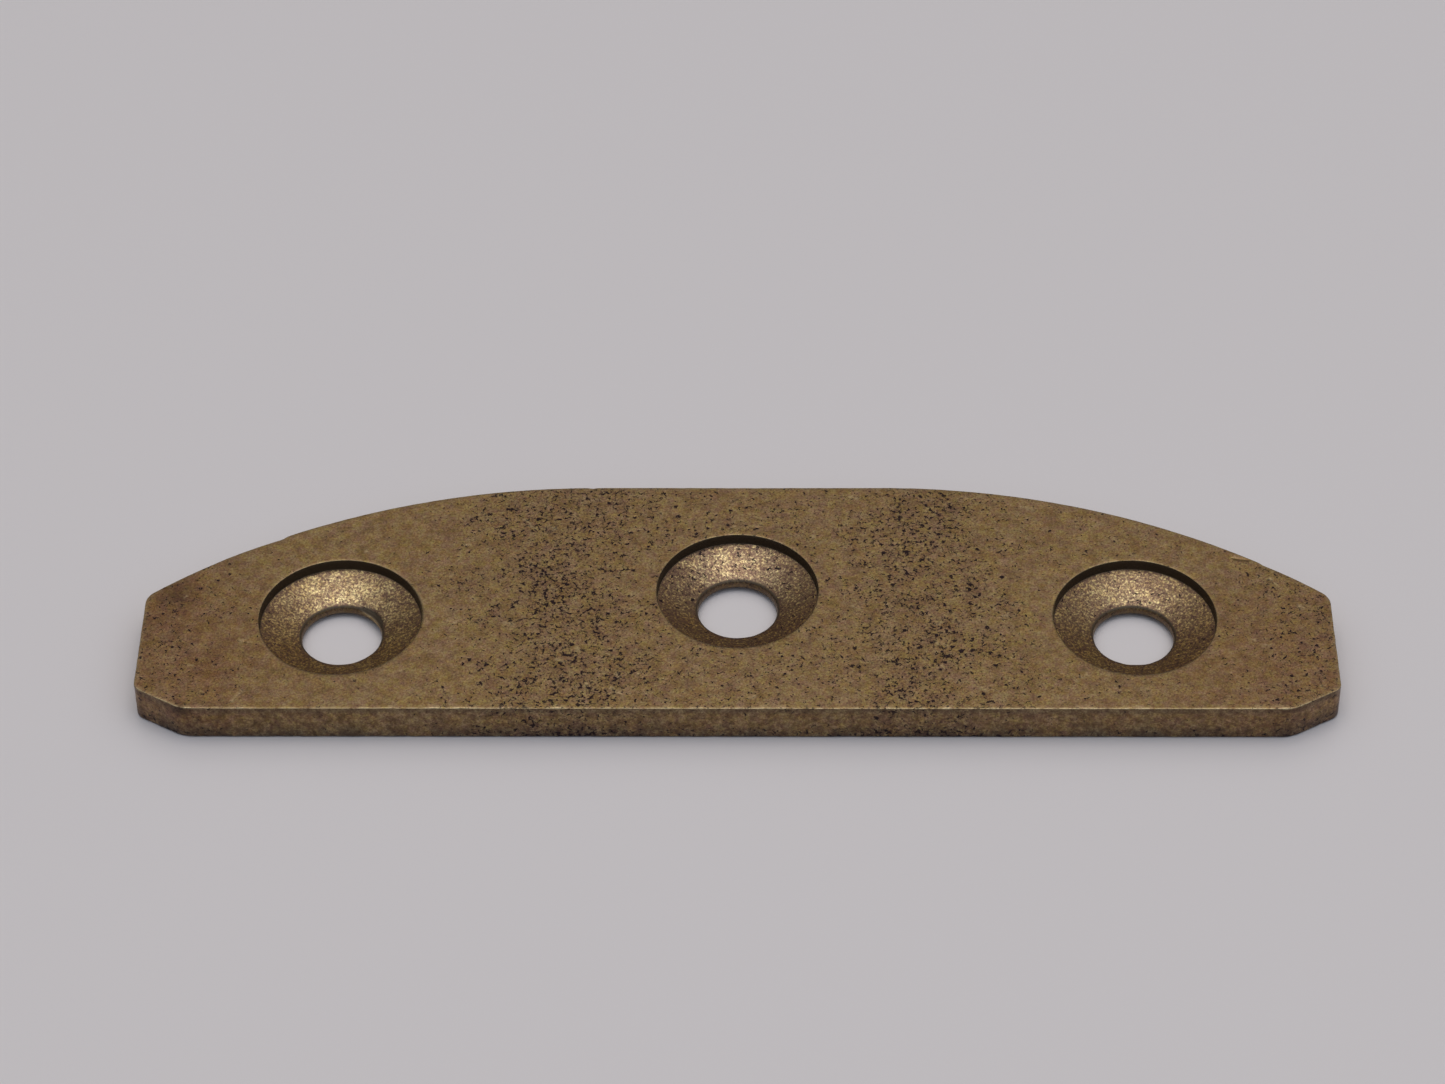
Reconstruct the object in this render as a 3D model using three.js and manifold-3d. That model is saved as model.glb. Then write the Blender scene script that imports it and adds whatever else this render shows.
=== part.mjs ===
// A flat brass plate with three countersunk screw holes: the fixing plate of a door guard.
// It lies on its underside, long side along X and straight front edge towards -Y.
// Millimetres, +Z up. The origin is the centre of the bounding box's bottom face.
import * as THREE from "three";
import { mergeVertices } from "three/addons/utils/BufferGeometryUtils.js";
import Module from "manifold-3d";

// Plate
const LENGTH = 76;
const WIDTH = 20.4;
const THICKNESS = 2.6;
const EDGE_BREAK = 0.15;

// Back edge: a straight run in the middle, with an arc tangent to it at each end
const BACK_FLAT_HALF = 9.525;
const BACK_RADIUS = 44.45;

// Front corners: cut off at a slant, and every corner of the outline rounded a little
const CORNER_CUT_X = 3.15;
const CORNER_CUT_ANGLE = Math.PI / 6;
const FRONT_ROUND = 2.2;
const SIDE_ROUND = 0.8;
const BACK_ROUND = 1.3;

// Screw holes: a bore, a cone for the screw's head and a short straight wall above it
const HOLE_PITCH = 25.4;
const SIDE_HOLE_FROM_FRONT = 8.28;
const MIDDLE_HOLE_FROM_FRONT = 10.7;
const BORE_RADIUS = 2.55;
const BORE_LENGTH = 0.87;
const SEAT_RADIUS = 5.18;
const SEAT_HALF_ANGLE = (69.5 * Math.PI) / 180;
const RIM_BREAK = 0.06;
const SEAT_CORNER_ROUND = 0.1;
const LIP_ROUND = 0.3;
const BORE_BREAK = 0.38;

// Fineness of the faceted curves
const OUTLINE_SEGMENTS = 10;
const EDGE_SEGMENTS = 1;
const ROUND_SEGMENTS = 1;
const HOLE_SEGMENTS = 56;

const CUT_CLEARANCE = 1;
const BRASS = { color: 0x8c7350, roughness: 0.45, metalness: 1 };

const wasm = await Module();
wasm.setup();

// The arcs on the outline's right half, in order from the front edge round to the back edge.
function rightArcs() {
  const side = LENGTH / 2;
  const front = -WIDTH / 2;
  const cutY = CORNER_CUT_X * Math.tan(CORNER_CUT_ANGLE);
  const frontTangent = FRONT_ROUND * Math.tan(CORNER_CUT_ANGLE / 2);
  const sideTurn = Math.PI / 2 - CORNER_CUT_ANGLE;
  const sideTangent = SIDE_ROUND * Math.tan(sideTurn / 2);
  const arcY = WIDTH / 2 - BACK_RADIUS;
  const backX = side - BACK_ROUND;
  const reach = backX - BACK_FLAT_HALF;
  const backY = arcY + Math.sqrt((BACK_RADIUS - BACK_ROUND) ** 2 - reach ** 2);
  const backTurn = Math.atan2(backY - arcY, reach);
  return [
    {
      x: side - CORNER_CUT_X - frontTangent,
      y: front + FRONT_ROUND,
      radius: FRONT_ROUND,
      from: -Math.PI / 2,
      to: -sideTurn,
    },
    {
      x: side - SIDE_ROUND,
      y: front + cutY + sideTangent,
      radius: SIDE_ROUND,
      from: -sideTurn,
      to: 0,
    },
    { x: backX, y: backY, radius: BACK_ROUND, from: 0, to: backTurn },
    { x: BACK_FLAT_HALF, y: arcY, radius: BACK_RADIUS, from: backTurn, to: Math.PI / 2 },
  ];
}

// The same arc on the left half, turned so that the outline still runs anticlockwise.
function mirrored(arc) {
  return { ...arc, x: -arc.x, from: Math.PI - arc.to, to: Math.PI - arc.from };
}

function plateOutline() {
  const right = rightArcs();
  const left = right.map(mirrored).reverse();
  const outline = new THREE.Shape();
  for (const arc of [...right, ...left]) {
    outline.absarc(arc.x, arc.y, arc.radius, arc.from, arc.to, false);
  }
  return outline;
}

function plateBlank() {
  const blank = new THREE.ExtrudeGeometry(plateOutline(), {
    depth: THICKNESS - 2 * EDGE_BREAK,
    curveSegments: OUTLINE_SEGMENTS,
    bevelThickness: EDGE_BREAK,
    bevelSize: EDGE_BREAK,
    bevelOffset: -EDGE_BREAK,
    bevelSegments: EDGE_SEGMENTS,
  });
  return blank.translate(0, 0, EDGE_BREAK);
}

// Radius against height along a screw hole, from under the underside to over the top face.
function holeProfile() {
  const coneTopZ = BORE_LENGTH + (SEAT_RADIUS - BORE_RADIUS) / Math.tan(SEAT_HALF_ANGLE);
  const lipX = BORE_RADIUS + LIP_ROUND;
  const lipY = BORE_LENGTH - LIP_ROUND * Math.tan(SEAT_HALF_ANGLE / 2);
  const cornerX = SEAT_RADIUS - SEAT_CORNER_ROUND;
  const cornerY = coneTopZ + SEAT_CORNER_ROUND * Math.tan(SEAT_HALF_ANGLE / 2);
  const coneTurn = Math.PI - SEAT_HALF_ANGLE;
  const profile = new THREE.Path();
  profile.moveTo(0, -CUT_CLEARANCE);
  profile.lineTo(BORE_RADIUS + BORE_BREAK, -CUT_CLEARANCE);
  profile.lineTo(BORE_RADIUS + BORE_BREAK, 0);
  profile.lineTo(BORE_RADIUS, BORE_BREAK);
  profile.absarc(lipX, lipY, LIP_ROUND, Math.PI, coneTurn, true);
  profile.absarc(cornerX, cornerY, SEAT_CORNER_ROUND, -SEAT_HALF_ANGLE, 0, false);
  profile.lineTo(SEAT_RADIUS, THICKNESS - RIM_BREAK);
  profile.lineTo(SEAT_RADIUS + RIM_BREAK, THICKNESS);
  profile.lineTo(SEAT_RADIUS + RIM_BREAK, THICKNESS + CUT_CLEARANCE);
  profile.lineTo(0, THICKNESS + CUT_CLEARANCE);
  return profile.getPoints(ROUND_SEGMENTS);
}

// What a screw hole takes away: the profile turned about the hole's axis.
function holeCutter(x, y) {
  const cutter = new THREE.LatheGeometry(holeProfile(), HOLE_SEGMENTS);
  return cutter.rotateX(Math.PI / 2).translate(x, y, 0);
}

function solidFrom(geometry) {
  const bare = geometry.clone();
  bare.deleteAttribute("normal");
  bare.deleteAttribute("uv");
  const merged = mergeVertices(bare);
  const vertProperties = merged.attributes.position.array;
  const triVerts = new Uint32Array(merged.index.array);
  return new wasm.Manifold(new wasm.Mesh({ numProp: 3, vertProperties, triVerts }));
}

function geometryFrom(solid) {
  const mesh = solid.getMesh();
  const geometry = new THREE.BufferGeometry();
  geometry.setAttribute("position", new THREE.BufferAttribute(mesh.vertProperties, 3));
  geometry.setIndex(new THREE.BufferAttribute(mesh.triVerts, 1));
  geometry.computeVertexNormals();
  return geometry;
}

function guardPlate() {
  const sideY = SIDE_HOLE_FROM_FRONT - WIDTH / 2;
  const middleY = MIDDLE_HOLE_FROM_FRONT - WIDTH / 2;
  let solid = solidFrom(plateBlank());
  for (const [x, y] of [[-HOLE_PITCH, sideY], [0, middleY], [HOLE_PITCH, sideY]]) {
    solid = solid.subtract(solidFrom(holeCutter(x, y)));
  }
  const plate = new THREE.Mesh(geometryFrom(solid), new THREE.MeshStandardMaterial(BRASS));
  plate.name = "guard_plate";
  return plate;
}

const guard = new THREE.Group();
guard.add(guardPlate());

export default guard;
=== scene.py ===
"""The aged brass fixing plate of a door guard, lying on a pale table under soft light."""

import math

import bmesh
import bpy
import numpy as np
from mathutils import Matrix, Vector, noise
from mathutils.geometry import delaunay_2d_cdt


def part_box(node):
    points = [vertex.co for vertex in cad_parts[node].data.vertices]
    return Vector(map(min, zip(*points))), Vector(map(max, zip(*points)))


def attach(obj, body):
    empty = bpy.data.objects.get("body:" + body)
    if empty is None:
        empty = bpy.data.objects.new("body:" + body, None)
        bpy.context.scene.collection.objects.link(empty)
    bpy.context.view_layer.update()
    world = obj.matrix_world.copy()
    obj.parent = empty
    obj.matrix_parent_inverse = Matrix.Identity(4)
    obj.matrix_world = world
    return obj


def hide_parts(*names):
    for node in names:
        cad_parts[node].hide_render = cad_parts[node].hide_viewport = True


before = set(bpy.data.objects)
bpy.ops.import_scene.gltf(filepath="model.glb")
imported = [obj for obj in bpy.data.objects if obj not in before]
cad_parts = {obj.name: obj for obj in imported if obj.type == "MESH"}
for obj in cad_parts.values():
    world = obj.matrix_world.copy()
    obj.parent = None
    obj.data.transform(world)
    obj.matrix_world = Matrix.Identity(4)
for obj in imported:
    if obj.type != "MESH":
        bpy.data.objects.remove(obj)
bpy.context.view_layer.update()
PLATE_LOW, PLATE_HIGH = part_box("guard_plate")

# Lengths are in millimetres in this script's geometry, and turn to metres when a mesh is made.
MM = 0.001
LENGTH = (PLATE_HIGH.x - PLATE_LOW.x) / MM
WIDTH = (PLATE_HIGH.y - PLATE_LOW.y) / MM
THICKNESS = (PLATE_HIGH.z - PLATE_LOW.z) / MM

# The outline: a straight front, cut corners, straight sides and a back edge of arc, flat and arc.
EDGE_ROUND = 0.15
BACK_FLAT_HALF = 9.525
BACK_RADIUS = 44.45
CORNER_CUT_X = 3.15
CORNER_CUT_ANGLE = math.radians(30)
FRONT_ROUND = 2.2
SIDE_ROUND = 0.8
BACK_ROUND = 1.3

# The screw holes: a bore, a cone and a short wall round the cone's top.
HOLE_PITCH = 25.4
SIDE_HOLE_Y = -1.92
MIDDLE_HOLE_Y = 0.50
BORE_RADIUS = 2.55
BORE_LENGTH = 0.87
SEAT_RADIUS = 5.18
SEAT_HALF_ANGLE = math.radians(70)
RIM_ROUND = 0.06
SEAT_CORNER_ROUND = 0.06
LIP_ROUND = 0.30
BORE_BREAK = 0.38
HOLES = ((-HOLE_PITCH, SIDE_HOLE_Y), (0.0, MIDDLE_HOLE_Y), (HOLE_PITCH, SIDE_HOLE_Y))

# How fine the mesh is.
TOP_STEP = 0.26
BOTTOM_STEP = 0.5
OUTLINE_STEP = 0.2
SIDE_ROWS = 10
CONE_ROWS = 18
HOLE_SIDES = 128
PIT_SIDES = 7
SCRATCH_STEP = 0.15
WELD_DIGITS = 4

# For the triangulation: to keep only what is inside, and how close two points are one.
KEEP_INSIDE = 1
SAME_POINT = 1e-6

# How far inside the outline, and outside the seats, each face's own grid of points begins. The
# underside's holes are smaller than the seats, so its grid comes closer to them.
TOP_MARGIN = 0.0
BOTTOM_MARGIN = -1.0
CLEAR_SHARE = 0.55

# The seed of every random choice.
SEED = 11

# Wear in the metal's shape. All of it is taken off the plate, so it stays inside its box.
EDGE_DIP = 0.012
EDGE_SHARPEST = 0.3
BACK_EVENNESS = 0.25
BACK_FROM = -2.0
FACE_DIP = 0.016
SIDE_DIP = 0.03
CONE_DIP = 0.02
LIP_DIP = 0.05

# Pits: how many, how large and deep, and how they gather in clumps and in the pitted bands.
PIT_COUNT = 520
PIT_RADIUS = (0.07, 0.2)
PIT_SMALLNESS = 2.5
PIT_DEPTH = 0.12
PIT_CLUMP = 1.7
PIT_STRAYS = 0.08
PIT_RARITY = 0.8
PIT_GAP = 1.2
PIT_BAND_SLOPE = 1.5

# Scratches: how many, how long, wide and deep, how far they turn from X, and how they taper.
SCRATCH_COUNT = 46
SCRATCH_LENGTH = (0.3, 1.3)
SCRATCH_SHORTNESS = 3
SCRATCH_WIDTH = 0.06
SCRATCH_DEPTH = 0.006
SCRATCH_TURN = 0.6
SCRATCH_END = 0.15
# How much of the worn edges' lightening the scratches take: part wear, part painted highlight.
SCRATCH_SHINE = 0.7

# Nicks in the back edge: where along X, how far they run to the left and right, and how deep.
BACK_NICKS = ((-29.7, 3.2, 0.45, 0.12), (-9.6, 0.3, 0.35, 0.09), (34.0, 0.3, 2.6, 0.06))
NICK_CURVE = 1.3

# A cut into the face beside the back edge: from where to where, how wide and how deep.
EDGE_CUT = ((32.0, 3.49), (33.1, 3.28), 0.16, 0.05)

# A burr on the lip of the left bore: a fin that leans into the bore, with a groove behind it.
BURR_HOLE = 0
BURR_ANGLE = math.radians(42)
BURR_SPREAD = math.radians(20)
FIN_REACH = 0.1
FIN_FOOT = 0.6
FIN_WIDTH = 0.03
# The fin is lightened with a painted highlight, and the groove is darkened with specks and painted shade.
FIN_SHINE = 0.8
GROOVE_DEPTH = 0.06
GROOVE_WIDTH = 0.2
GROOVE_RISE = 0.1
GROOVE_SHADE_SPECKS = 2

# How much painted sheen each seat's back half has, with polish that also makes it smoother, and its sides as
# a share of that.
HOLE_SHEEN_AND_POLISH = (1.02, 1.3, 0.95)
SIDE_SHEEN_AND_POLISH = 0.3

# How unevenly the seats' rims are rounded, how far they sink where they are rounded more, and
# the stretches that are rounded most: which hole, at what angle, how far round each way, and
# how much wider.
RIM_SPREAD = 0.05
RIM_SINK = 0.7
SOFT_RIMS = (
    (0, math.radians(8), math.radians(28), 0.16),
    (0, math.radians(-95), math.radians(60), 0.12),
    (1, math.radians(-100), math.radians(60), 0.1),
    (2, math.radians(-90), math.radians(60), 0.1),
    (2, math.radians(175), math.radians(20), 0.1),
)

# The pitted stretches of the face: where along X, half how wide, and how strongly pitted.
PITTED_BANDS = (
    (-11.0, 9.5, 0.95),
    (12.0, 9.5, 0.9),
    (0.0, 14.0, 0.5),
    (26.0, 14.0, 0.22),
    (37.0, 8.0, 0.62),
    (-38.0, 8.0, 0.55),
)
BAND_RAGGED = 14.0
BAND_SPECK_REACH = 1.2

# Soft dark stains: x, y and z, how far they reach, and how dark they are at the middle.
STAINS = (
    (-36.0, 0.4, 2.6, 2.2, 0.66),
    (-36.5, -1.5, 2.6, 2.6, 0.85),
    (-33.5, -6.5, 2.6, 2.2, 0.86),
    (-34.9, -10.2, 2.35, 1.1, 0.45),
    (-38.0, -5.0, 2.6, 15.0, 0.83),
    (37.0, -7.0, 2.6, 15.0, 0.85),
)
STAIN_CORE = 0.2

# What a vertex belongs to, from 0 to 1 for each, as the material reads it. The worn edges are lightened
# partly by wear and partly as a painted highlight, the seats' back halves take a painted sheen, and the
# recesses are darkened by dirt and painted shade.
ZONES = ("worn_edge", "recess", "cone", "side", "pit", "polish")


def colour(red, green, blue):
    return (red, green, blue, 1.0)


# The patina, which drifts between two browns and between yellower and bluer, and is redder where
# it is darker.
OLIVE_BROWN = colour(0.286, 0.194, 0.078)
PINK_BROWN = colour(0.297, 0.170, 0.082)
YELLOWER = colour(1.0, 1.0, 0.76)
BLUER = colour(1.0, 1.0, 1.24)
REDDER = colour(1.07, 0.975, 1.0)
GREENER = colour(0.95, 1.015, 1.0)

# The seats: a brown tuned as their shaded side, and a yellow brass painted on as their sheen. Then the other
# kinds of metal, dirt and specks: rubbed brass that is partly a painted highlight, a darker colour for the
# sides, and dirt mixed with painted shade for the recesses.
CONE_SHADE_BROWN = colour(0.306, 0.186, 0.061)
CONE_SHEEN_BRASS = colour(0.408, 0.300, 0.151)
RUBBED_BRASS_AND_SHEEN = colour(0.50, 0.370, 0.200)
DARKENED_SIDE = colour(0.150, 0.105, 0.061)
PURPLE_BROWN = colour(0.092, 0.040, 0.036)
NEAR_BLACK = colour(0.024, 0.009, 0.010)
STAIN_TINT = colour(1.10, 0.95, 0.97)
DIRT_AND_SHADE = colour(0.125, 0.089, 0.057)
WHITE = colour(1.0, 1.0, 1.0)

# Patterns in the metal: bumps to the millimetre, detail, roughness, seed and, for some, twist.
HUE_NOISE = (2.2, 5, 0.85, 1)
SHADE_NOISE = (1.1, 5, 0.8, 2)
GRAIN_NOISE = (7.0, 3, 0.7, 3)
CLUMP_NOISE = (0.8, 3, 0.6, 4)
SPECK_NOISE = (3.9, 4, 0.62, 5, 0.5)
FLECK_NOISE = (6.5, 3, 0.65, 6, 0.3)
RUB_AND_SHEEN_NOISE = (2.5, 3, 0.7, 8)
PATCH_NOISE = (1.6, 4, 0.6, 9)
BAND_NOISE = (0.3, 3, 0.6, 11)
COOL_NOISE = (1.5, 5, 0.8, 12)
SEAT_NOISE = (6.0, 2, 0.7, 13)
DIRT_AND_SHADE_NOISE = (5.0, 3, 0.7, 14)
BLOTCH_NOISE = (0.55, 5, 0.75, 15)
MOTTLE_NOISE = (2.2, 4, 0.75, 16)

# Where in each pattern's range its effect begins and where it is full.
HUE_LIMITS = (0.37, 0.63)
SHADE_LIMITS = (0.30, 0.70)
GRAIN_LIMITS = (0.25, 0.75)
COOL_LIMITS = (0.35, 0.65)
SEAT_LIMITS = (0.38, 0.62)
# Where the seats' painted sheen shows through the patches.
SHEEN_LIMITS = (0.65, 0.4)
# Where the worn edges' lightening, part wear and part painted highlight, comes through in dashes.
RUB_AND_SHEEN_LIMITS = (0.30, 0.60)
BLOTCH_LIMITS = (0.36, 0.62)
MOTTLE_LIMITS = (0.32, 0.68)
# How the recesses' dirt and painted shade begin and are full, how ragged their edge is, and how dark they get
# at most.
DIRT_AND_SHADE_LIMITS = (0.2, 0.7)
DIRT_AND_SHADE_RAGGED = 0.7
DIRT_AND_SHADE_MOST = 0.95

# How much the patterns lighten and darken the metal, as a share of it.
SHADE_SWING = 0.30
GRAIN_SWING = 0.39
SIDE_SWING = 0.42
CONE_SWING = 0.40

# How many specks and flecks there are: everywhere, and more in each kind of place.
SPECKS_ANYWHERE = 0.018
SPECKS_IN_BANDS = 0.11
SPECKS_IN_CLUMPS = 0.16
SPECKS_IN_PITS = 0.22
SPECKS_HIGH_ON_SIDE = -0.02
SPECKS_LOW_ON_SIDE = 0.04
FLECKS_ON_CONE = 0.165
FLECKS_IN_RECESS = 0.2
SPECK_LIMITS = (0.743, 0.815)
FLECK_LIMITS = (0.71, 0.85)
FLECK_STRENGTH = 0.75

# Where on the sides the metal is darkened, in millimetres over the table, and how much: in blotches, darker
# towards the table, and as painted shade just under the top edge.
LOW_TO = 1.5
LOW_LEAST = 0.3
LOW_BLOTCHES = (0.3, 1.15)
HIGH_FROM_TO = (1.9, 2.4)
HIGH_SHADE = (0.15, 0.75)

# Roughness of dark and light metal, and what each kind of place adds to it.
ROUGH_DARK = 0.50
ROUGH_LIGHT = 0.42
ROUGH_SPECK = 0.15
ROUGH_RECESS_SHARE = 0.7
ROUGH_CONE = 0.14
ROUGH_POLISH = -0.24
ROUGH_RUBBED = -0.06
LACQUER = 0.22
LACQUER_ROUGHNESS = 0.35

# Relief too fine for the mesh, in millimetres.
GRAIN_HEIGHT = 0.012
PATCH_HEIGHT = 0.008
SPECK_DEPTH = 0.02

# The table and the studio, in metres: a soft sky that is cooler in front of the plate, and a lamp
# overhead.
FLOOR_WHITE = colour(0.757, 0.673, 0.643)
FLOOR_SIZE = 1.5
FLOOR_ROUGHNESS = 0.35
SKY_AXIS = Vector((0.10, 0.0, 1.0)).normalized()
SKY_LOW = 0.06
SKY_ABOVE = 1.12
SKY_FALLOFF = 2.3
SKY_COOL_TINT = colour(0.80, 1.0, 1.26)
SKY_WARM_TINT = colour(1.02, 1.0, 0.96)
SKY_TINT_AXIS = Vector((0.0, 0.75, 0.66))
LAMP_AT = (0.0, 0.04, 0.55)
LAMP_SIZE = (0.36, 0.28)
LAMP_WATTS = 0.45

# Where a Mix node keeps its two colours and its result.
MIX_FIRST, MIX_SECOND, MIX_RESULT = 6, 7, 2

# Camera: where it stands, and how it is turned, in the plate's frame.
CAMERA_AT = Vector((2.14, -205.50, 201.34)) * MM
CAMERA_DOWN = math.radians(43.353)
CAMERA_TURN = math.radians(0.853)
CAMERA_ROLL = math.radians(-0.573)
CAMERA_LENS = 110.93
SENSOR_WIDTH = 36.0


# ---------------------------------------------------------------- outline and sections

def outline_arcs():
    """(x, y, radius, from, to) of each arc of the outline, anticlockwise from the front right corner."""
    side, front = LENGTH / 2, -WIDTH / 2
    cut_y = CORNER_CUT_X * math.tan(CORNER_CUT_ANGLE)
    front_tangent = FRONT_ROUND * math.tan(CORNER_CUT_ANGLE / 2)
    side_turn = math.pi / 2 - CORNER_CUT_ANGLE
    side_tangent = SIDE_ROUND * math.tan(side_turn / 2)
    arc_y = WIDTH / 2 - BACK_RADIUS
    back_x = side - BACK_ROUND
    reach = back_x - BACK_FLAT_HALF
    back_y = arc_y + math.sqrt((BACK_RADIUS - BACK_ROUND) ** 2 - reach**2)
    back_turn = math.atan2(back_y - arc_y, reach)
    right = [
        (side - CORNER_CUT_X - front_tangent, front + FRONT_ROUND, FRONT_ROUND, -math.pi / 2, -side_turn),
        (side - SIDE_ROUND, front + cut_y + side_tangent, SIDE_ROUND, -side_turn, 0.0),
        (back_x, back_y, BACK_ROUND, 0.0, back_turn),
        (BACK_FLAT_HALF, arc_y, BACK_RADIUS, back_turn, math.pi / 2),
    ]
    left = [(-x, y, r, math.pi - to, math.pi - start) for x, y, r, start, to in reversed(right)]
    return right + left


def outline_samples():
    """Points along the outline, about OUTLINE_STEP apart, and the outward direction at each."""
    arcs = outline_arcs()
    points, outward = [], []
    for (x, y, radius, start, to), following in zip(arcs, arcs[1:] + arcs[:1]):
        angles = np.linspace(start, to, max(3, math.ceil(radius * (to - start) / OUTLINE_STEP)) + 1)
        directions = np.stack([np.cos(angles), np.sin(angles)], 1)
        arc = np.array([x, y]) + radius * directions
        next_start = np.array(following[:2]) + following[2] * directions[-1]
        run = next_start - arc[-1]
        steps = math.ceil(np.linalg.norm(run) / OUTLINE_STEP - 1e-6)
        shares = np.arange(steps)[:, None] / max(1, steps)
        points += [arc[:-1], arc[-1] + shares * run]
        outward += [directions[:-1], np.repeat(directions[-1:], steps, 0)]
    return np.concatenate(points), np.concatenate(outward)


def marks(**shares):
    """A number for each of the zones, 0 where it isn't given."""
    return tuple(shares.get(name, 0.0) for name in ZONES)


def arc_points(x, z, radius, start, to, steps):
    """(x, z) pairs along an arc in a section."""
    return [(x + radius * math.cos(a), z + radius * math.sin(a)) for a in np.linspace(start, to, steps + 1)]


def between(start, end, inner):
    """Points evenly spaced between two others, without them."""
    shares = [i / (inner + 1) for i in range(1, inner + 1)]
    return [(start[0] + s * (end[0] - start[0]), start[1] + s * (end[1] - start[1])) for s in shares]


def edge_section():
    """(inset, height, zones) down the plate's edge, from the top face to the underside."""
    top = arc_points(EDGE_ROUND, THICKNESS - EDGE_ROUND, EDGE_ROUND, math.pi / 2, math.pi, 4)
    foot = arc_points(EDGE_ROUND, EDGE_ROUND, EDGE_ROUND, math.pi, 1.5 * math.pi, 3)
    parts = [
        # The rounded top edge and the foot are lightened as worn edges: partly wear, partly a painted
        # highlight.
        (top[:1], marks(worn_edge=0.35)),
        (top[1:3], marks(worn_edge=1)),
        (top[3:4], marks(worn_edge=0.6, side=0.5)),
        (top[4:], marks(side=1)),
        (between((0, THICKNESS - 2 * EDGE_ROUND), foot[0], SIDE_ROWS), marks(side=1)),
        (foot[:-1], marks(side=1)),
        (foot[-1:], marks(worn_edge=0.35)),
    ]
    return [(inset, z, zones) for points, zones in parts for inset, z in points]


def hole_section():
    """(radius, height, zones) down a hole, from the top face to the underside."""
    cone_top = BORE_LENGTH + (SEAT_RADIUS - BORE_RADIUS) / math.tan(SEAT_HALF_ANGLE)
    half = math.tan(SEAT_HALF_ANGLE / 2)
    rim = arc_points(SEAT_RADIUS + RIM_ROUND, THICKNESS - RIM_ROUND, RIM_ROUND, math.pi / 2, math.pi, 3)
    corner_x = SEAT_RADIUS - SEAT_CORNER_ROUND
    corner_z = cone_top + SEAT_CORNER_ROUND * half
    corner = arc_points(corner_x, corner_z, SEAT_CORNER_ROUND, 0.0, -SEAT_HALF_ANGLE, 4)
    lip_x = BORE_RADIUS + LIP_ROUND
    lip_z = BORE_LENGTH - LIP_ROUND * half
    lip = arc_points(lip_x, lip_z, LIP_ROUND, math.pi - SEAT_HALF_ANGLE, math.pi, 7)
    foot = [(BORE_RADIUS, BORE_BREAK), (BORE_RADIUS + BORE_BREAK, 0.0)]
    cone = between(corner[-1], lip[0], CONE_ROWS)
    cone_parts = []
    for i, point in enumerate(cone):
        outer = (1 - i / len(cone)) ** 2
        inner = (i / len(cone)) ** 12
        # The cone's rows nearest the wall and the lip are darkened as recess: partly dirt, partly painted
        # shade.
        dirt_and_shade = 0.12 * outer + 0.45 * inner
        cone_parts.append(([point], marks(recess=dirt_and_shade, cone=1, polish=1 - 0.3 * outer)))
    # Walls, corners, lips and bores are marked as recess, which the material darkens with dirt and painted
    # shade.
    parts = [
        (rim[:1], marks(worn_edge=0.1)),
        (rim[1:3], marks(worn_edge=0.4, recess=0.25)),
        (rim[3:], marks(recess=1)),
        (between(rim[-1], corner[0], 2), marks(recess=1)),
        (corner[:3], marks(recess=1)),
        (corner[3:4], marks(recess=0.9, cone=0.4)),
        (corner[4:], marks(recess=0.35, cone=1, polish=0.8)),
        *cone_parts,
        (lip[:1], marks(recess=0.25, cone=1, polish=0.8)),
        (lip[1:4], marks(recess=0.6, cone=0.5)),
        (lip[4:], marks(recess=0.45, cone=0.3)),
        (between(lip[-1], foot[0], 3), marks(recess=0.5)),
        (foot[:-1], marks(recess=0.75)),
        (foot[-1:], marks()),
    ]
    return [(radius, z, zones) for points, zones in parts for radius, z in points]


# ---------------------------------------------------------------- wear in the shape

def smooth_noise(points, size, seed):
    """Smooth noise from 0 to 1 at each 3-D point, with bumps about size across."""
    shift = Vector((seed * 13.7, seed * 7.1, seed * 3.3))
    values = [noise.noise(Vector(point) / size + shift) for point in points]
    return np.clip(0.5 + 0.75 * np.array(values), 0, 1)


def pitting(x):
    """How pitted the face is along X, from 0 to 1."""
    strongest = 0.0
    for at, half, strong in PITTED_BANDS:
        share = min(1, max(0, PIT_BAND_SLOPE * (1 - abs(x - at) / half)))
        strongest = max(strongest, strong * share)
    return strongest


def back_nicks(points):
    """How deep the outline is nicked at each of its points."""
    depth = np.zeros(len(points))
    for at, left, right, deepest in BACK_NICKS:
        away = points[:, 0] - at
        reach = np.where(away < 0, -away / left, away / right)
        depth = np.maximum(depth, deepest * np.clip(1 - reach, 0, 1) ** NICK_CURVE)
    return np.where(points[:, 1] > 0, depth, 0)


def on_face(points, margin):
    """Which points lie on the top face, clear of the outline and the holes by the margin."""
    x, y = np.abs(points[:, 0]), points[:, 1]
    side, front = LENGTH / 2, -WIDTH / 2
    inside = (x < side - margin) & (y > front + margin) & (y < WIDTH / 2 - margin)
    reach = np.hypot(x - BACK_FLAT_HALF, y - (WIDTH / 2 - BACK_RADIUS))
    inside &= (x < BACK_FLAT_HALF) | (reach < BACK_RADIUS - margin)
    slant = (side - x) * math.sin(CORNER_CUT_ANGLE) + (y - front) * math.cos(CORNER_CUT_ANGLE)
    inside &= slant > CORNER_CUT_X * math.sin(CORNER_CUT_ANGLE) + margin
    for hole in HOLES:
        inside &= np.hypot(*(points - hole).T) > SEAT_RADIUS + RIM_ROUND + margin
    return inside


def skewed(random, limits, power):
    """A random number between two limits, nearer the lower one the higher the power."""
    low, high = limits
    return low + (high - low) * random.random() ** power


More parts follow.
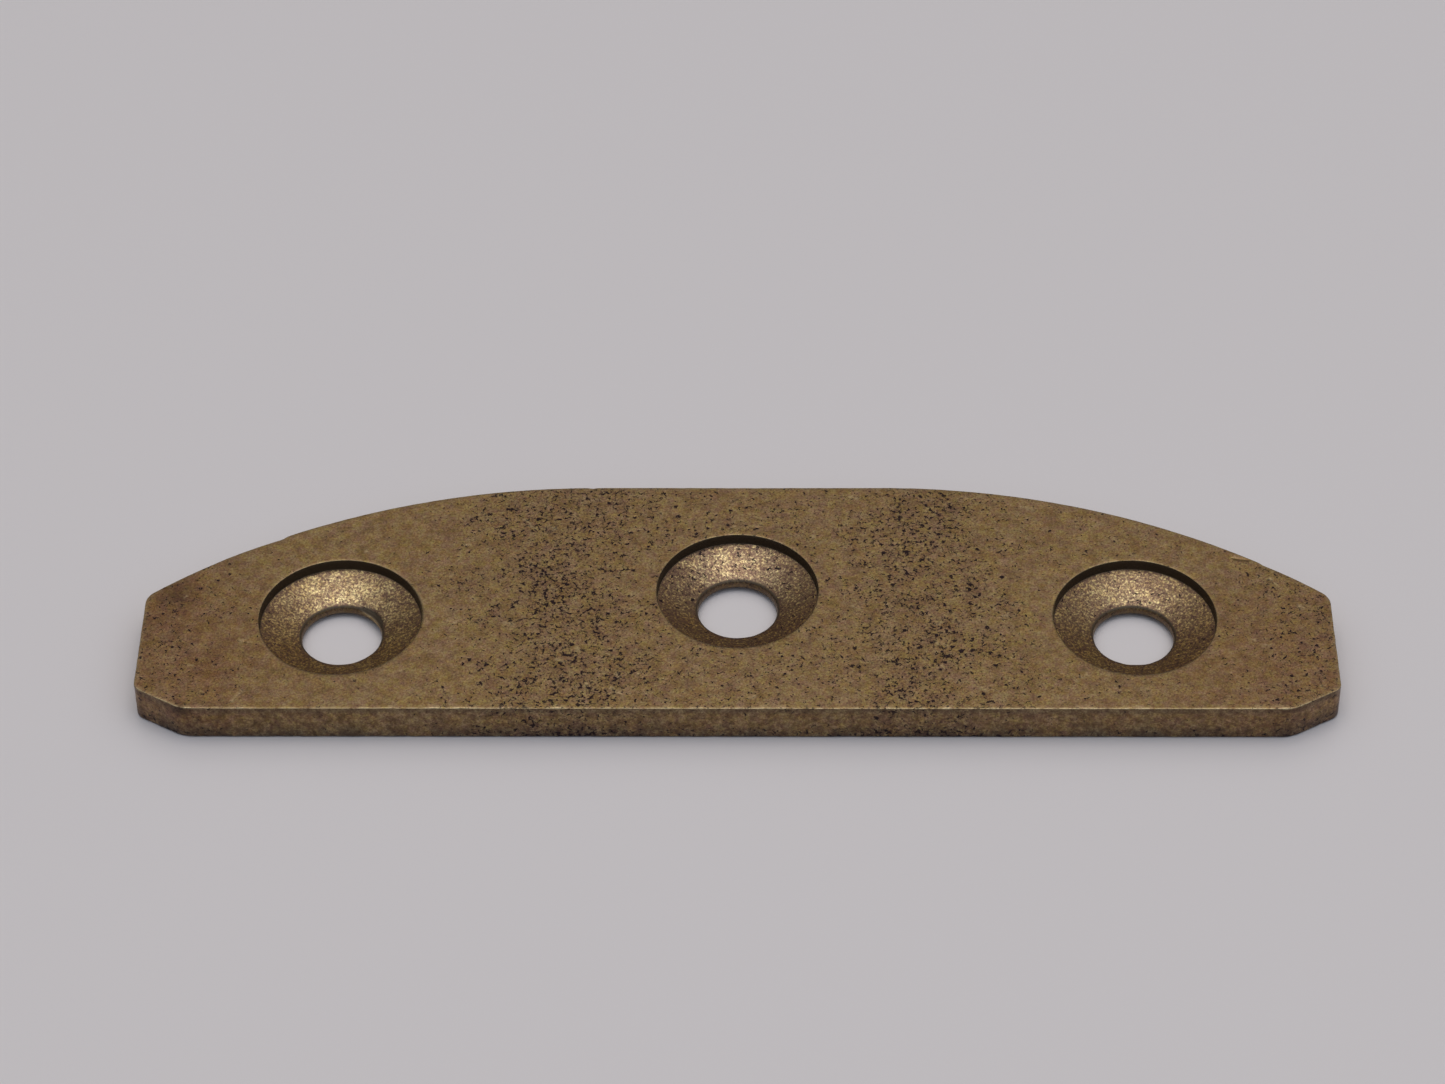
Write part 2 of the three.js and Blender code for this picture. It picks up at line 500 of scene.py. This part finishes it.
def make_pits(random):
    """(x, y, radius) of each pit of the top face."""
    pits = []
    while len(pits) < PIT_COUNT:
        x = random.uniform(-LENGTH / 2, LENGTH / 2)
        y = random.uniform(-WIDTH / 2, WIDTH / 2)
        radius = skewed(random, PIT_RADIUS, PIT_SMALLNESS)
        clump = smooth_noise([(x, y, 0)], size=PIT_CLUMP, seed=5)[0]
        wanted = (PIT_STRAYS + pitting(x)) * clump**2 > PIT_RARITY * random.random()
        if not wanted or not on_face(np.array([[x, y]]), 2 * EDGE_ROUND + radius)[0]:
            continue
        if all(math.hypot(x - px, y - py) > PIT_GAP * (radius + pr) for px, py, pr in pits):
            pits.append((x, y, radius))
    return np.array(pits)


def make_scratches(random):
    """(start, end, width, depth) of each fine scratch in the top face, and of the cut by the edge."""
    scratches = [EDGE_CUT]
    while len(scratches) <= SCRATCH_COUNT:
        x = random.uniform(-LENGTH / 2, LENGTH / 2)
        start = np.array([x, random.uniform(-WIDTH / 2, WIDTH / 2)])
        length = skewed(random, SCRATCH_LENGTH, SCRATCH_SHORTNESS)
        turn = random.normal(0, SCRATCH_TURN)
        end = start + length * np.array([math.cos(turn), math.sin(turn)])
        if on_face(np.array([start, end, (start + end) / 2]), 3 * EDGE_ROUND).all():
            scratches.append((start, end, SCRATCH_WIDTH, SCRATCH_DEPTH * random.uniform(0.4, 1)))
    return scratches


def pit_points(pits, random):
    """Points that give each pit its bowl: a centre and two uneven rings."""
    found = []
    for x, y, radius in pits:
        found.append((x, y))
        for share in (0.5, 1.0):
            for i in range(PIT_SIDES):
                angle = 2 * math.pi * (i + random.uniform(-0.25, 0.25)) / PIT_SIDES
                out = share * radius * random.uniform(0.8, 1.2)
                found.append((x + out * math.cos(angle), y + out * math.sin(angle)))
    return np.array(found)


def scratch_taper(share):
    """How wide and deep a scratch is at a share of its length, as a share of its middle."""
    return SCRATCH_END + (1 - SCRATCH_END) * np.sin(math.pi * share)


def scratch_lines(scratches):
    """Points along the bottom and both shoulders of each scratch, one array for each line."""
    lines = []
    for start, end, width, _ in scratches:
        start, end = np.array(start), np.array(end)
        along = (end - start) / np.linalg.norm(end - start)
        across = np.array([-along[1], along[0]])
        count = max(3, math.ceil(np.linalg.norm(end - start) / SCRATCH_STEP))
        shares = np.linspace(0, 1, count + 1)[:, None]
        bottom = start + shares * (end - start)
        taper = scratch_taper(shares)
        lines += [bottom, bottom + width / 2 * taper * across, bottom - width / 2 * taper * across]
    return lines


def pit_depth(points, pits):
    """How deep in a pit each point of the top face is, from 0 to 1, and that pit's radius."""
    deepest = np.zeros(len(points))
    size = np.zeros(len(points))
    for x, y, radius in pits:
        share = np.hypot(points[:, 0] - x, points[:, 1] - y) / radius
        bowl = np.clip(1 - share**2, 0, 1) ** 1.5
        deeper = bowl > deepest
        deepest[deeper] = bowl[deeper]
        size[deeper] = radius
    return deepest, size


def scratch_depth(points, scratches):
    """How deep the scratches are at each point of the top face."""
    depth = np.zeros(len(points))
    for start, end, width, deepest in scratches:
        start, end = np.array(start), np.array(end)
        length = np.linalg.norm(end - start)
        along = (end - start) / length
        share = (points - start) @ along / length
        off = np.abs((points - start) @ np.array([-along[1], along[0]]))
        on_line = (share > -0.01) & (share < 1.01)
        taper = np.where(on_line, scratch_taper(np.clip(share, 0, 1)), 0)
        half_width = width * np.maximum(taper, 0.01) / 2
        depth = np.maximum(depth, deepest * taper * np.clip(1 - off / half_width, 0, 1))
    return depth


# ---------------------------------------------------------------- the plate's mesh

def hole_ring():
    """Unit directions round a hole, clockwise seen from above."""
    angles = -2 * math.pi * np.arange(HOLE_SIDES) / HOLE_SIDES
    return np.stack([np.cos(angles), np.sin(angles)], 1)


def strip_faces(rows, count):
    """Quads between successive closed loops of count points."""
    faces = []
    for a in range(0, (rows - 1) * count, count):
        for i in range(count):
            j = (i + 1) % count
            faces.append((a + i, a + count + i, a + count + j, a + j))
    return faces


def edge_strip():
    """Points, zones and faces of the plate's edge. Its first and last loops edge the two faces."""
    points, outward = outline_samples()
    loop = np.column_stack([points, np.zeros(len(points))])
    worn = EDGE_DIP * smooth_noise(loop, size=0.9, seed=1) * smooth_noise(loop, size=4.0, seed=2)
    worn += back_nicks(points)
    uneven = np.where(points[:, 1] > BACK_FROM, BACK_EVENNESS, 1.0)
    softness = EDGE_SHARPEST + uneven * (1 - EDGE_SHARPEST) * smooth_noise(loop, size=0.8, seed=3) ** 2
    softness = softness[:, None]
    rows, zones = [], []
    for inset, z, zone in edge_section():
        soft = softness if z >= THICKNESS - EDGE_ROUND - 1e-6 else 1.0
        flat = points - (soft * inset + worn[:, None]) * outward
        height = THICKNESS - soft * (THICKNESS - z) * np.ones((len(points), 1))
        rows.append(np.hstack([flat, height]))
        zones.append(np.tile(zone, (len(points), 1)))
    return rows, zones, strip_faces(len(rows), len(points))


def rim_widening(index, ring, angles):
    """How much wider a seat's rim is rounded in each direction."""
    loop = np.column_stack([np.array(HOLES[index]) + SEAT_RADIUS * ring, np.zeros(len(ring))])
    wider = RIM_SPREAD * smooth_noise(loop, size=1.6, seed=14) ** 2
    for hole, at, spread, extra in SOFT_RIMS:
        away = (angles - at + math.pi) % (2 * math.pi) - math.pi
        wider += (hole == index) * extra * np.exp(-((away / spread) ** 2))
    return wider


def hole_strip(index):
    """Points, zones and faces down one hole, with an uneven rim and a burr in one bore."""
    ring = hole_ring()
    centre = np.array(HOLES[index])
    angles = np.arctan2(ring[:, 1], ring[:, 0])
    rim = rim_widening(index, ring, angles)
    # A painted sheen with polish, strongest on each seat's back half and weakest at its sides.
    polish = HOLE_SHEEN_AND_POLISH[index] * np.clip(SIDE_SHEEN_AND_POLISH + (1 - SIDE_SHEEN_AND_POLISH) * np.sin(angles), 0, 1)
    burr = np.exp(-(((angles - BURR_ANGLE) / BURR_SPREAD) ** 4)) * (index == BURR_HOLE)
    rows, zones = [], []
    for radius, z, zone in hole_section():
        past_bore = radius - BORE_RADIUS
        fin = burr * (past_bore < FIN_WIDTH) * (z > FIN_FOOT)
        groove = burr * (FIN_WIDTH < past_bore < GROOVE_WIDTH) * (z < BORE_LENGTH + GROOVE_RISE)
        on_rim = max(0.0, (radius - SEAT_RADIUS) / RIM_ROUND)
        reach = radius + rim * on_rim - FIN_REACH * fin
        drop = (THICKNESS - z) / RIM_ROUND
        sunk = RIM_SINK * rim * drop * (drop < 1.01)
        heights = z - GROOVE_DEPTH * groove - sunk
        rows.append(np.column_stack([centre + reach[:, None] * ring, heights]))
        row_marks = np.tile(np.array(zone, float), (len(ring), 1))
        row_marks[:, ZONES.index("polish")] *= polish
        # The groove is darkened with dark specks and painted shade, and the fin lightened with a painted
        # highlight.
        row_marks[:, ZONES.index("pit")] += GROOVE_SHADE_SPECKS * groove
        row_marks[:, ZONES.index("recess")] *= 1 - fin
        row_marks[:, ZONES.index("recess")] += groove
        row_marks[:, ZONES.index("worn_edge")] += FIN_SHINE * fin
        zones.append(row_marks)
    return rows, zones, strip_faces(len(rows), len(ring))


def hex_grid(step):
    """A grid of equal triangles' corners over the plate's box."""
    rows = np.arange(-WIDTH / 2, WIDTH / 2, step * math.sqrt(3) / 2)
    columns = np.arange(-LENGTH / 2, LENGTH / 2, step)
    return np.concatenate([
        np.stack([columns + (i % 2) * step / 2, np.full(len(columns), y)], 1)
        for i, y in enumerate(rows)
    ])


def clear_of(grid, points, distance):
    """The grid's points that lie further than the distance from all the given points."""
    cells = {}
    for x, y in points:
        cells.setdefault((math.floor(x), math.floor(y)), []).append((x, y))
    kept = []
    for x, y in grid:
        column, row = math.floor(x), math.floor(y)
        around = [cells.get((column + i, row + j), ()) for i in (-1, 0, 1) for j in (-1, 0, 1)]
        if all(math.hypot(x - px, y - py) > distance for cell in around for px, py in cell):
            kept.append((x, y))
    return np.array(kept)


def inside_loop(points, hole, loop):
    """Which points lie inside a hole's loop, whose own points go clockwise from +X in even turns."""
    away = points - np.array(hole)
    turn = -np.arctan2(away[:, 1], away[:, 0]) % (2 * math.pi)
    first = (turn * len(loop) / (2 * math.pi)).astype(int) % len(loop)
    run = loop[(first + 1) % len(loop)] - loop[first]
    off = points - loop[first]
    return run[:, 0] * off[:, 1] < run[:, 1] * off[:, 0]


def fill_face(loops, lines, spots, step, margin):
    """Flat points and triangles between the outline and the holes, through the lines and spots."""
    given = np.concatenate([*loops, *lines, spots])
    grid = hex_grid(step)
    grid = clear_of(grid[on_face(grid, margin)], given, CLEAR_SHARE * step)
    points = np.concatenate([given, grid])
    edges, first = [], 0
    for loop in loops:
        edges += [(first + i, first + (i + 1) % len(loop)) for i in range(len(loop))]
        first += len(loop)
    for line in lines:
        edges += [(first + i, first + i + 1) for i in range(len(line) - 1)]
        first += len(line)
    found = delaunay_2d_cdt([Vector(p) for p in points], edges, [], KEEP_INSIDE, SAME_POINT)
    # A corner that was given keeps its exact place, so that it welds to the strip beside it.
    flat = np.array([points[same[0]] if same else (v.x, v.y) for v, same in zip(found[0], found[3])])
    triangles = np.array(found[2])
    middles = flat[triangles].mean(1)
    keep = np.ones(len(triangles), bool)
    for hole, loop in zip(HOLES, loops[1:]):
        keep &= ~inside_loop(middles, hole, loop)
    return flat, triangles[keep]


def weld(vertices, zones, faces):
    """Joins vertices on the same spot, and drops the ones that no face uses."""
    rounded = np.round(vertices, WELD_DIGITS)
    _, first, same = np.unique(rounded, axis=0, return_index=True, return_inverse=True)
    same = same.ravel()
    faces = [tuple(int(same[i]) for i in face) for face in faces]
    used = sorted({i for face in faces for i in face})
    place = {old: new for new, old in enumerate(used)}
    faces = [tuple(place[i] for i in face) for face in faces]
    return vertices[first][used], zones[first][used], faces


def plate_parts():
    """Vertices, zones and faces of the whole plate, before the wear that lowers its surface."""
    random = np.random.default_rng(SEED)
    pits = make_pits(random)
    scratches = make_scratches(random)
    vertices, zones, faces = [], [], []
    total = 0

    def add(points, point_marks, new_faces):
        nonlocal total
        vertices.append(points)
        zones.append(point_marks)
        faces.extend(tuple(total + i for i in face) for face in new_faces)
        total += len(points)

    strips = [edge_strip()] + [hole_strip(i) for i in range(len(HOLES))]
    for rows, row_marks, strip in strips:
        add(np.concatenate(rows), np.concatenate(row_marks), strip)

    loops = [rows[0][:, :2] for rows, _, _ in strips]
    spots = pit_points(pits, random)
    flat, triangles = fill_face(loops, scratch_lines(scratches), spots, TOP_STEP, TOP_MARGIN)
    bowl, radius = pit_depth(flat, pits)
    face_marks = np.zeros((len(flat), len(ZONES)))
    face_marks[:, ZONES.index("pit")] = bowl
    # Scratches lightened like the worn edges, partly as a painted highlight.
    face_marks[:, ZONES.index("worn_edge")] = SCRATCH_SHINE * (scratch_depth(flat, scratches[1:]) > 0)
    lowered = PIT_DEPTH * radius * bowl + scratch_depth(flat, scratches)
    add(np.column_stack([flat, THICKNESS - lowered]), face_marks, triangles.tolist())

    loops = [rows[-1][:, :2] for rows, _, _ in strips]
    flat, triangles = fill_face(loops, [], np.empty((0, 2)), BOTTOM_STEP, BOTTOM_MARGIN)
    face_marks = np.zeros((len(flat), len(ZONES)))
    add(np.column_stack([flat, np.zeros(len(flat))]), face_marks, triangles[:, ::-1].tolist())
    return weld(np.concatenate(vertices), np.concatenate(zones), faces)


def worn_depth(points, zones):
    """How far the wear has lowered the surface at each vertex."""
    recess, cone, side = (zones[:, ZONES.index(name)] for name in ("recess", "cone", "side"))
    high = np.clip((points[:, 2] - THICKNESS / 2) / (THICKNESS / 2), 0, 1)
    depth = FACE_DIP * high * smooth_noise(points, size=5.0, seed=7)
    depth += SIDE_DIP * side * smooth_noise(points, size=0.5, seed=8) * smooth_noise(points, size=1.6, seed=9)
    depth += CONE_DIP * cone * smooth_noise(points, size=0.55, seed=10)
    depth += LIP_DIP * recess * (cone > 0) * smooth_noise(points, size=0.8, seed=12)
    return depth


def make_plate():
    """The plate's object, with its zones as attributes of the mesh for the material to read."""
    vertices, zones, faces = plate_parts()
    mesh = bpy.data.meshes.new("plate_body")
    mesh.from_pydata((vertices * MM).tolist(), [], faces)
    mesh.validate()
    normals = np.empty(len(vertices) * 3)
    mesh.vertex_normals.foreach_get("vector", normals)
    worn = vertices - worn_depth(vertices, zones)[:, None] * normals.reshape(-1, 3)
    mesh.vertices.foreach_set("co", (worn * MM).ravel())
    for name, values in zip(ZONES, zones.T):
        mesh.attributes.new(name, "FLOAT", "POINT").data.foreach_set("value", values)
    mesh.update()
    mesh.shade_smooth()
    plate = bpy.data.objects.new("plate_body", mesh)
    bpy.context.scene.collection.objects.link(plate)
    return plate


# ---------------------------------------------------------------- the metal

class Metal:
    """A material's node tree, with short ways to add the nodes that aged brass needs."""

    def __init__(self, name):
        self.material = bpy.data.materials.new(name)
        self.material.use_nodes = True
        self.tree = self.material.node_tree
        self.shader = self.tree.nodes["Principled BSDF"]
        where = self.tree.nodes.new("ShaderNodeTexCoord")
        self.place = self.vector("SCALE", where.outputs["Object"], scale=1 / MM)

    def feed(self, socket, value):
        if isinstance(value, bpy.types.NodeSocket):
            self.tree.links.new(value, socket)
        else:
            socket.default_value = value

    def vector(self, operation, first, second=(0, 0, 0), scale=1.0):
        node = self.tree.nodes.new("ShaderNodeVectorMath")
        node.operation = operation
        self.feed(node.inputs[0], first)
        if operation == "SCALE":
            self.feed(node.inputs["Scale"], scale)
        else:
            self.feed(node.inputs[1], second)
        return node.outputs[0]

    def maths(self, operation, *values):
        node = self.tree.nodes.new("ShaderNodeMath")
        node.operation = operation
        for socket, value in zip(node.inputs, values):
            self.feed(socket, value)
        return node.outputs[0]

    def noise(self, per_mm, detail, rough, seed, twist=0.0):
        """Noise from 0 to 1 with per_mm bumps to the millimetre."""
        node = self.tree.nodes.new("ShaderNodeTexNoise")
        moved = self.vector("ADD", self.place, (seed * 7.3, seed * 4.1, seed * 2.7))
        self.feed(node.inputs["Vector"], moved)
        node.inputs["Scale"].default_value = per_mm
        node.inputs["Detail"].default_value = detail
        node.inputs["Roughness"].default_value = rough
        node.inputs["Distortion"].default_value = twist
        return node.outputs["Fac"]

    def ramp(self, value, low, high, start=0.0, end=1.0):
        """Goes smoothly from start at low to end at high."""
        node = self.tree.nodes.new("ShaderNodeMapRange")
        node.interpolation_type = "SMOOTHSTEP"
        names = ("Value", "From Min", "From Max", "To Min", "To Max")
        for name, given in zip(names, (value, low, high, start, end)):
            self.feed(node.inputs[name], given)
        return node.outputs["Result"]

    def mix(self, share, first, second):
        """One colour turning to another."""
        node = self.tree.nodes.new("ShaderNodeMix")
        node.data_type = "RGBA"
        self.feed(node.inputs["Factor"], share)
        self.feed(node.inputs[MIX_FIRST], first)
        self.feed(node.inputs[MIX_SECOND], second)
        return node.outputs[MIX_RESULT]

    def along(self, axis):
        """How far along X, Y or Z the surface is, in millimetres."""
        node = self.tree.nodes.new("ShaderNodeSeparateXYZ")
        self.feed(node.inputs[0], self.place)
        return node.outputs[axis]

    def zone(self, name):
        node = self.tree.nodes.new("ShaderNodeAttribute")
        node.attribute_name = name
        return node.outputs["Fac"]

    def times(self, first, second):
        return self.maths("MULTIPLY", first, second)

    def total(self, first, *others):
        result = first
        for value in others:
            result = self.maths("ADD", result, value)
        return result


def pitted_stretches(metal):
    """How pitted the metal is along X, from 0 to 1, in the same bands as the pits in the mesh."""
    ragged = metal.maths("MULTIPLY_ADD", metal.noise(*BAND_NOISE), BAND_RAGGED, -BAND_RAGGED / 2)
    along = metal.maths("ADD", metal.along("X"), ragged)
    strongest = 0.0
    for at, half, strong in PITTED_BANDS:
        away = metal.maths("ABSOLUTE", metal.maths("SUBTRACT", along, at))
        share = metal.ramp(away, half * BAND_SPECK_REACH, 0.0, 0.0, strong)
        strongest = metal.maths("MAXIMUM", strongest, share)
    return strongest


def stained(metal):
    """How light the soft stains leave the metal, with 1 where there are none."""
    shade = 1.0
    for x, y, z, radius, darkest in STAINS:
        away = metal.tree.nodes.new("ShaderNodeVectorMath")
        away.operation = "DISTANCE"
        metal.feed(away.inputs[0], metal.place)
        metal.feed(away.inputs[1], (x, y, z))
        core = STAIN_CORE * radius
        shade = metal.times(shade, metal.ramp(away.outputs["Value"], radius, core, 1.0, darkest))
    return shade


def patina(metal):
    """Brown metal that drifts between olive and pinkish brown, and between yellower and bluer."""
    hue = metal.ramp(metal.noise(*HUE_NOISE), *HUE_LIMITS)
    brown = metal.mix(hue, OLIVE_BROWN, PINK_BROWN)
    cool = metal.mix(metal.ramp(metal.noise(*COOL_NOISE), *COOL_LIMITS), YELLOWER, BLUER)
    return metal.vector("MULTIPLY", brown, cool)


def seat_metal(metal, polish, patch):
    """Grainy brown, with yellow brass painted on as a sheen, a painted highlight, where the seat is marked
    for it.
    """
    sheen_share = metal.times(polish, metal.ramp(patch, *SHEEN_LIMITS, 0.6, 1.0))
    brown = metal.mix(sheen_share, CONE_SHADE_BROWN, CONE_SHEEN_BRASS)
    grains = metal.ramp(metal.noise(*SEAT_NOISE), *SEAT_LIMITS, 1 - CONE_SWING, 1 + CONE_SWING)
    return metal.vector("SCALE", brown, scale=grains)


def side_darkening(metal, low):
    """How much the sides are darkened: in blotches, more towards the table, and with painted shade just under
    the top edge.
    """
    blotch = metal.ramp(metal.noise(*BLOTCH_NOISE), *BLOTCH_LIMITS, *LOW_BLOTCHES)
    high = metal.ramp(metal.along("Z"), *HIGH_FROM_TO, *HIGH_SHADE)
    return metal.maths("MAXIMUM", metal.times(low, blotch), high)


def toned(metal, base, shade, grain, side):
    """The base made lighter and darker, redder where it is darker, and stained."""
    tone = metal.times(
        metal.ramp(shade, *SHADE_LIMITS, 1 - SHADE_SWING, 1 + SHADE_SWING),
        metal.ramp(grain, *GRAIN_LIMITS, 1 - GRAIN_SWING, 1 + GRAIN_SWING),
    )
    mottle = metal.ramp(metal.noise(*MOTTLE_NOISE), *MOTTLE_LIMITS, -SIDE_SWING, SIDE_SWING)
    tone = metal.times(tone, metal.maths("MULTIPLY_ADD", mottle, side, 1.0))
    stain = stained(metal)
    tint = metal.mix(metal.ramp(tone, 0.6, 1.4), REDDER, GREENER)
    stain_tint = metal.mix(metal.ramp(stain, 0.7, 1.0), STAIN_TINT, WHITE)
    base = metal.vector("MULTIPLY", base, tint)
    base = metal.vector("MULTIPLY", base, stain_tint)
    return metal.vector("SCALE", base, scale=metal.times(tone, stain))


def speck_masks(metal, zones, low):
    """Where the dark specks and the finer purple flecks are, in clumps, thickest in the bands."""
    push = metal.total(
        metal.times(pitted_stretches(metal), SPECKS_IN_BANDS),
        metal.times(metal.noise(*CLUMP_NOISE), SPECKS_IN_CLUMPS),
        metal.times(zones["pit"], SPECKS_IN_PITS),
        metal.times(zones["side"], metal.ramp(low, 0.3, 1.0, SPECKS_HIGH_ON_SIDE, SPECKS_LOW_ON_SIDE)),
        SPECKS_ANYWHERE,
    )
    fleck_push = metal.total(
        push,
        metal.times(zones["cone"], FLECKS_ON_CONE),
        metal.times(zones["recess"], FLECKS_IN_RECESS),
    )
    specks = metal.ramp(metal.total(metal.noise(*SPECK_NOISE), push), *SPECK_LIMITS)
    flecks = metal.ramp(metal.total(metal.noise(*FLECK_NOISE), fleck_push), *FLECK_LIMITS)
    return specks, flecks


def dirt_and_shade_share(metal, recess):
    """How much dirt and painted shade darken the walls and bores, with a ragged edge."""
    ragged = metal.maths("MULTIPLY_ADD", metal.noise(*DIRT_AND_SHADE_NOISE), DIRT_AND_SHADE_RAGGED, -DIRT_AND_SHADE_RAGGED / 2)
    return metal.ramp(metal.total(recess, ragged), *DIRT_AND_SHADE_LIMITS, 0.0, DIRT_AND_SHADE_MOST)


def fine_relief(metal, grain, patch, specks):
    """A normal with the relief that is too fine for the mesh."""
    bump = metal.tree.nodes.new("ShaderNodeBump")
    bump.inputs["Strength"].default_value = 1.0
    bump.inputs["Distance"].default_value = MM
    height = metal.total(
        metal.times(grain, GRAIN_HEIGHT),
        metal.times(patch, PATCH_HEIGHT),
        metal.times(specks, -SPECK_DEPTH),
    )
    metal.feed(bump.inputs["Height"], height)
    return bump.outputs["Normal"]


def aged_brass():
    """Brown patina with dark specks, recesses darkened by dirt and painted shade, seats with a painted sheen,
    and bright worn edges that are partly a painted highlight.
    """
    metal = Metal("aged_brass")
    zones = {name: metal.zone(name) for name in ZONES}
    shade = metal.noise(*SHADE_NOISE)
    grain = metal.noise(*GRAIN_NOISE)
    patch = metal.noise(*PATCH_NOISE)
    low = metal.ramp(metal.along("Z"), 0.0, LOW_TO, 1.0, LOW_LEAST)
    specks, flecks = speck_masks(metal, zones, low)
    # The worn edges' lightening, part wear and part painted highlight, broken into dashes.
    rubbed_and_sheen = metal.times(zones["worn_edge"], metal.ramp(metal.noise(*RUB_AND_SHEEN_NOISE), *RUB_AND_SHEEN_LIMITS))

    # The seats take their brown, with a painted sheen on their back halves.
    base = metal.mix(zones["cone"], patina(metal), seat_metal(metal, zones["polish"], patch))
    # The sides darkened: in blotches towards the table, and with painted shade under the top edge.
    base = metal.mix(metal.times(zones["side"], side_darkening(metal, low)), base, DARKENED_SIDE)
    base = toned(metal, base, shade, grain, zones["side"])
    base = metal.mix(metal.times(flecks, FLECK_STRENGTH), base, PURPLE_BROWN)
    base = metal.mix(specks, base, NEAR_BLACK)
    # Dirt and painted shade darken the recesses.
    base = metal.mix(dirt_and_shade_share(metal, zones["recess"]), base, DIRT_AND_SHADE)
    # Worn edges lightened, partly by wear and partly as a painted highlight.
    base = metal.mix(rubbed_and_sheen, base, RUBBED_BRASS_AND_SHEEN)

    dark = metal.maths("MAXIMUM", specks, metal.times(zones["recess"], ROUGH_RECESS_SHARE))
    rough = metal.total(
        metal.ramp(shade, 0.32, 0.68, ROUGH_DARK, ROUGH_LIGHT),
        metal.times(dark, ROUGH_SPECK),
        metal.times(zones["cone"], ROUGH_CONE),
        metal.times(zones["polish"], ROUGH_POLISH),
        metal.times(rubbed_and_sheen, ROUGH_RUBBED),
    )
    metal.feed(metal.shader.inputs["Base Color"], base)
    metal.feed(metal.shader.inputs["Metallic"], 1.0)
    metal.feed(metal.shader.inputs["Coat Weight"], LACQUER)
    metal.feed(metal.shader.inputs["Coat Roughness"], LACQUER_ROUGHNESS)
    metal.feed(metal.shader.inputs["Roughness"], rough)
    metal.feed(metal.shader.inputs["Normal"], fine_relief(metal, grain, patch, specks))
    return metal.material


# ---------------------------------------------------------------- light, floor and camera

def make_camera():
    """A camera in front of the plate and above it, looking down at it."""
    data = bpy.data.cameras.new("camera")
    data.sensor_width = SENSOR_WIDTH
    data.lens = CAMERA_LENS
    data.clip_start = 0.01
    camera = bpy.data.objects.new("camera", data)
    turn = Matrix.Rotation(CAMERA_TURN, 4, "Z")
    tilt = Matrix.Rotation(math.pi / 2 - CAMERA_DOWN, 4, "X")
    roll = Matrix.Rotation(CAMERA_ROLL, 4, "Z")
    camera.matrix_world = Matrix.Translation(CAMERA_AT) @ turn @ tilt @ roll
    bpy.context.scene.collection.objects.link(camera)
    bpy.context.scene.camera = camera


def make_lamp():
    """A soft lamp overhead, aimed at the plate."""
    data = bpy.data.lights.new("overhead", "AREA")
    data.shape = "RECTANGLE"
    data.size, data.size_y = LAMP_SIZE
    data.energy = LAMP_WATTS
    lamp = bpy.data.objects.new("overhead", data)
    lamp.location = LAMP_AT
    lamp.rotation_euler = (-Vector(LAMP_AT)).to_track_quat("-Z", "Y").to_euler()
    bpy.context.scene.collection.objects.link(lamp)


def make_floor():
    """A large pale table under the plate, kept out of the part itself."""
    bm = bmesh.new()
    bmesh.ops.create_grid(bm, x_segments=2, y_segments=2, size=FLOOR_SIZE)
    mesh = bpy.data.meshes.new("floor")
    bm.to_mesh(mesh)
    bm.free()
    floor = bpy.data.objects.new("floor", mesh)
    floor.location.z = PLATE_LOW.z
    bpy.context.scene.collection.objects.link(floor)
    material = bpy.data.materials.new("floor")
    material.use_nodes = True
    shader = material.node_tree.nodes["Principled BSDF"]
    shader.inputs["Base Color"].default_value = FLOOR_WHITE
    shader.inputs["Roughness"].default_value = FLOOR_ROUGHNESS
    mesh.materials.append(material)


def make_world():
    """Soft light from all round, strongest from above, and cooler in front than behind."""
    world = bpy.data.worlds.new("studio")
    world.use_nodes = True
    nodes, links = world.node_tree.nodes, world.node_tree.links
    background = nodes["Background"]
    where = nodes.new("ShaderNodeTexCoord")

    def share_along(axis):
        node = nodes.new("ShaderNodeVectorMath")
        node.operation = "DOT_PRODUCT"
        node.inputs[1].default_value = axis
        links.new(where.outputs["Generated"], node.inputs[0])
        return node.outputs["Value"]

    tint = nodes.new("ShaderNodeMix")
    tint.data_type = "RGBA"
    tint.inputs[MIX_FIRST].default_value = SKY_COOL_TINT
    tint.inputs[MIX_SECOND].default_value = SKY_WARM_TINT
    links.new(share_along(SKY_TINT_AXIS), tint.inputs["Factor"])
    links.new(tint.outputs[MIX_RESULT], background.inputs["Color"])

    strength = share_along(SKY_AXIS)
    steps = (("MAXIMUM", 0.0), ("POWER", SKY_FALLOFF), ("MULTIPLY", SKY_ABOVE), ("ADD", SKY_LOW))
    for operation, amount in steps:
        node = nodes.new("ShaderNodeMath")
        node.operation = operation
        links.new(strength, node.inputs[0])
        node.inputs[1].default_value = amount
        strength = node.outputs[0]
    links.new(strength, background.inputs["Strength"])
    bpy.context.scene.world = world


make_camera()
make_world()
make_floor()
make_lamp()
bpy.context.scene.view_settings.view_transform = "Standard"

plate = make_plate()
plate.data.materials.append(aged_brass())
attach(plate, "root")
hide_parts("guard_plate")
